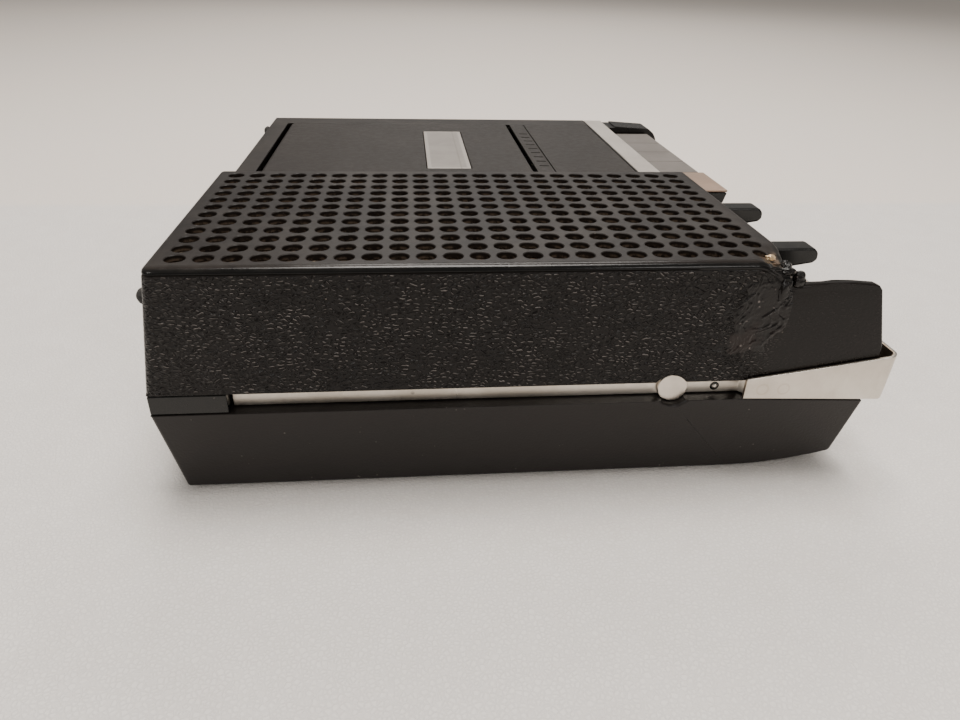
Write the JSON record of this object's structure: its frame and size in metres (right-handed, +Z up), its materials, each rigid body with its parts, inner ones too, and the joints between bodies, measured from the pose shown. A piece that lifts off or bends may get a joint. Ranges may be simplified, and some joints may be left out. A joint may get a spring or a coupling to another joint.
{
  "type": "portable cassette tape recorder",
  "caption": "Flat portable cassette recorder with a perforated speaker block, hinged cassette lid, piano keys, slide controls and a pull-out steel carrying handle.",
  "frame": {"origin": "on the table under the middle of the recorder's box", "axes": "+X to the front with the keys and handle, +Y to the user's right (cassette side), +Z up"},
  "size_m": [0.2264, 0.2382, 0.076],
  "materials": {
    "grained_black": "leather-grained moulded plastic",
    "satin_black": "satin moulded plastic",
    "grille_black": "worn semi-gloss plastic",
    "panel_brown": "fine mottled plastic",
    "gloss_black": "gloss black plastic",
    "bright_trim": "satin silver",
    "nickel": "aged nickel-plated steel, brushed",
    "zinc": "zinc-plated steel",
    "brass": "turned brass",
    "rubber": "black rubber",
    "cloth": "dusty brown cloth",
    "paper": "pressed paper cone",
    "ferrite": "ferrite",
    "grey_cap": "satin grey-brown",
    "copper_cap": "satin copper",
    "window_grey": "pale grey insert",
    "board_green": "circuit board"
  },
  "bodies": {
    "casing": {"case_screw_front_left": "zinc", "case_screw_front_right": "zinc", "case_screw_rear_left": "zinc", "case_screw_rear_right": "zinc", "cassette_well": "satin_black", "circuit_board": "board_green", "drive_belt": "rubber", "foot_front_left": "rubber", "foot_front_right": "rubber", "foot_rear_left": "rubber", "foot_rear_right": "rubber", "front_trim": "bright_trim", "grille_cloth": "cloth", "grip_strip": "panel_brown", "guide_disc_left": "nickel", "guide_disc_right": "nickel", "head_cover": "panel_brown", "key_shaft": "zinc", "lid_hinge_pin_left": "zinc", "lid_hinge_pin_right": "zinc", "lower_casing": "satin_black", "mechanism_plate": "zinc", "motor": "zinc", "rear_buffer_left": "rubber", "rear_buffer_right": "rubber", "signal_socket": "gloss_black", "slot_plug_left": "gloss_black", "slot_plug_right": "gloss_black", "speaker_cone": "paper", "speaker_frame": "zinc", "speaker_grille": "grille_black", "speaker_magnet": "ferrite", "tone_pot": "zinc", "upper_casing": "grained_black", "volume_pot": "zinc"},
    "handle": {"handle_band": "nickel", "handle_arm_left": "nickel", "handle_arm_right": "nickel"},
    "lid": {"cassette_lid": "panel_brown", "lid_window": "window_grey"},
    "volume_tab": {"volume_slider": "gloss_black"},
    "tone_tab": {"tone_slider": "gloss_black"},
    "battery_door": {"battery_door": "satin_black"},
    "head_carriage": {"head_plate": "zinc", "play_head": "nickel"},
    "pinch_roller": {"pinch_roller": "rubber"},
    "flywheel": {"flywheel": "brass"},
    "motor_pulley": {"motor_pulley": "brass"},
    "supply_spindle": {"supply_spindle": "gloss_black"},
    "takeup_spindle": {"takeup_spindle": "gloss_black"},
    "record_key": {"record_key": "gloss_black", "record_key_cap": "copper_cap"},
    "rewind_key": {"rewind_key": "gloss_black", "rewind_key_cap": "grey_cap"},
    "play_key": {"play_key": "gloss_black", "play_key_cap": "grey_cap"},
    "forward_key": {"forward_key": "gloss_black", "forward_key_cap": "grey_cap"},
    "stop_key": {"stop_key": "gloss_black", "stop_key_cap": "grey_cap"}
  },
  "joints": [
    {"name": "handle_slide", "type": "slide", "parent": "casing", "child": "handle", "axis": [1, 0, 0], "range_m": [0, 0.058]},
    {"name": "lid_hinge", "type": "hinge", "parent": "casing", "child": "lid", "pos_m": [-0.0963, 0.04835, 0.0665], "axis": [0, -1, 0], "range_deg": [0, 75]},
    {"name": "record_key_press", "type": "hinge", "parent": "casing", "child": "record_key", "pos_m": [0.04965, 0.00568, 0.058], "axis": [0, 1, 0], "range_deg": [0, 8], "stiffness_Nm_per_rad": 0.2, "springref_deg": -5.73},
    {"name": "rewind_key_press", "type": "hinge", "parent": "casing", "child": "rewind_key", "pos_m": [0.04965, 0.03008, 0.058], "axis": [0, 1, 0], "range_deg": [0, 8], "stiffness_Nm_per_rad": 0.2, "springref_deg": -5.73},
    {"name": "play_key_press", "type": "hinge", "parent": "casing", "child": "play_key", "pos_m": [0.04965, 0.0494, 0.058], "axis": [0, 1, 0], "range_deg": [0, 8]},
    {"name": "forward_key_press", "type": "hinge", "parent": "casing", "child": "forward_key", "pos_m": [0.04965, 0.06845, 0.058], "axis": [0, 1, 0], "range_deg": [0, 8], "stiffness_Nm_per_rad": 0.2, "springref_deg": -5.73},
    {"name": "stop_key_press", "type": "hinge", "parent": "casing", "child": "stop_key", "pos_m": [0.04965, 0.08915, 0.058], "axis": [0, 1, 0], "range_deg": [0, 8], "stiffness_Nm_per_rad": 0.2, "springref_deg": -5.73},
    {"name": "volume_slide", "type": "slide", "parent": "casing", "child": "volume_tab", "axis": [0, 1, 0], "range_m": [-0.017, 0.013]},
    {"name": "tone_slide", "type": "slide", "parent": "casing", "child": "tone_tab", "axis": [0, 1, 0], "range_m": [-0.017, 0.012]},
    {"name": "battery_door_hinge", "type": "hinge", "parent": "casing", "child": "battery_door", "pos_m": [-0.08655, -0.06, 0.002], "axis": [0, 1, 0], "range_deg": [0, 100]},
    {"name": "head_slide", "type": "slide", "parent": "casing", "child": "head_carriage", "axis": [-1, 0, 0], "range_m": [0, 0.008], "stiffness_N_per_m": 100, "springref_m": -0.005},
    {"name": "roller_spin", "type": "hinge", "parent": "head_carriage", "child": "pinch_roller", "pos_m": [0.02315, 0.07735, 0.058], "axis": [0, 0, 1], "continuous": true},
    {"name": "flywheel_spin", "type": "hinge", "parent": "casing", "child": "flywheel", "pos_m": [0.00815, 0.07735, 0.006], "axis": [0, 0, 1], "continuous": true},
    {"name": "pulley_spin", "type": "hinge", "parent": "casing", "child": "motor_pulley", "pos_m": [0.04365, 0.0121, 0.006], "axis": [0, 0, 1], "continuous": true},
    {"name": "supply_spin", "type": "hinge", "parent": "casing", "child": "supply_spindle", "pos_m": [-0.02155, 0.0271, 0.0475], "axis": [0, 0, 1], "continuous": true},
    {"name": "takeup_spin", "type": "hinge", "parent": "casing", "child": "takeup_spindle", "pos_m": [-0.02155, 0.0696, 0.0475], "axis": [0, 0, 1], "continuous": true}
  ],
  "couplings": [
    {"joint": "play_key_press", "follows": "head_slide", "rad_per_m": 17.45},
    {"joint": "pulley_spin", "follows": "flywheel_spin", "ratio": 5.2241}
  ]
}
